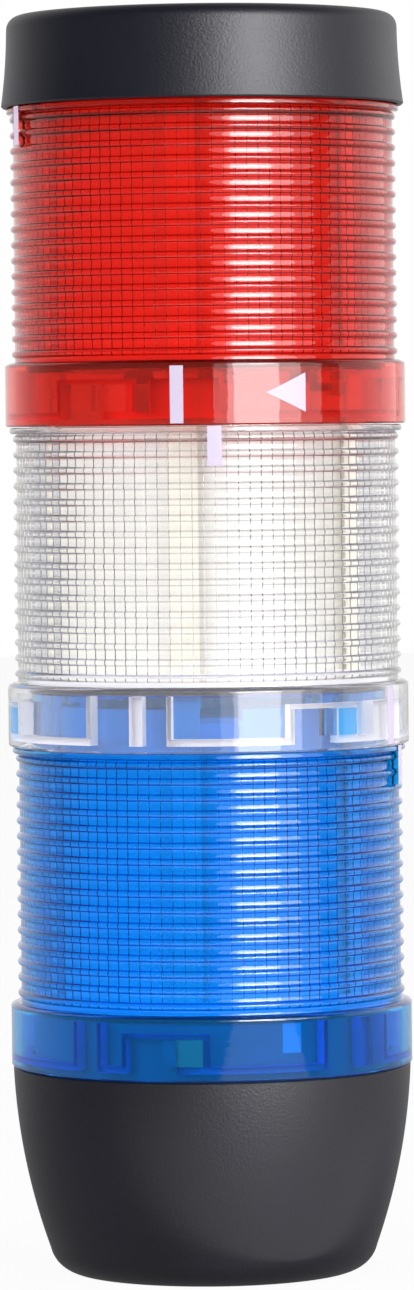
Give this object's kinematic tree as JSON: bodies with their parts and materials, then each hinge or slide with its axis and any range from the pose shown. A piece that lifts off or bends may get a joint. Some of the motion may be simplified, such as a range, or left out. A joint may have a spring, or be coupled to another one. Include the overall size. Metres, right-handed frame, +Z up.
{
  "type": "stack light",
  "caption": "Round signal tower: a black tapered base, ribbed blue, clear and red light modules on bayonet collars, and a black cap.",
  "frame": {"origin": "centre of the base's flat foot, on the axis of the stack", "axes": "+Z up the axis of the stack; -Y is the front, where the red collar's white bar and arrow show"},
  "size_m": [0.0724, 0.0724, 0.2254],
  "materials": {
    "black_abs": "fine spark-eroded grain",
    "blue_polycarbonate": "clear tint, polished, ribbed outside and fluted inside",
    "clear_polycarbonate": "water clear, polished, ribbed outside and fluted inside",
    "red_polycarbonate": "clear tint, polished, ribbed outside and fluted inside",
    "opal_diffuser": "opal, satin",
    "white_abs": "smooth moulded",
    "grey_nylon": "smooth moulded",
    "circuit_board": "white solder mask",
    "led_package": "phosphor gel in a white package",
    "brass": "rolled strip",
    "zinc_steel": "zinc plated",
    "nitrile_rubber": "smooth"
  },
  "bodies": {
    "base": {"base_housing": "black_abs", "terminal_plate": "white_abs", "terminal_blocks": "grey_nylon", "terminal_screws": "zinc_steel", "base_contacts": "brass", "base_common_pin": "brass", "plate_screws": "zinc_steel"},
    "blue_module": {"blue_lens": "blue_polycarbonate", "blue_marks": "white_abs", "blue_seal": "nitrile_rubber", "blue_contact_carrier": "white_abs", "blue_diffuser_core": "opal_diffuser", "blue_led_board": "circuit_board", "blue_leds": "led_package", "blue_bus_strips": "brass", "blue_common_pin": "brass", "blue_top_plate": "white_abs"},
    "clear_module": {"clear_lens": "clear_polycarbonate", "clear_marks": "white_abs", "clear_seal": "nitrile_rubber", "clear_contact_carrier": "white_abs", "clear_diffuser_core": "opal_diffuser", "clear_led_board": "circuit_board", "clear_leds": "led_package", "clear_bus_strips": "brass", "clear_common_pin": "brass", "clear_top_plate": "white_abs"},
    "red_module": {"red_lens": "red_polycarbonate", "red_marks": "white_abs", "red_seal": "nitrile_rubber", "red_contact_carrier": "white_abs", "red_diffuser_core": "opal_diffuser", "red_led_board": "circuit_board", "red_leds": "led_package", "red_bus_strips": "brass", "red_common_pin": "brass", "red_top_plate": "white_abs"},
    "cap": {"cap": "black_abs", "cap_seal": "nitrile_rubber"}
  },
  "joints": [
    {"name": "blue_module_turn", "type": "hinge", "parent": "base", "child": "blue_module", "pos_m": [0, 0, 0.037], "axis": [0, 0, 1], "range_deg": [0, 10.5]},
    {"name": "clear_module_turn", "type": "hinge", "parent": "blue_module", "child": "clear_module", "pos_m": [0, 0, 0.0943], "axis": [0, 0, 1], "range_deg": [0, 10.5]},
    {"name": "red_module_turn", "type": "hinge", "parent": "clear_module", "child": "red_module", "pos_m": [0, 0, 0.1516], "axis": [0, 0, 1], "range_deg": [0, 10.5]},
    {"name": "cap_turn", "type": "hinge", "parent": "red_module", "child": "cap", "pos_m": [0, 0, 0.2089], "axis": [0, 0, 1], "range_deg": [0, 10.5]}
  ]
}
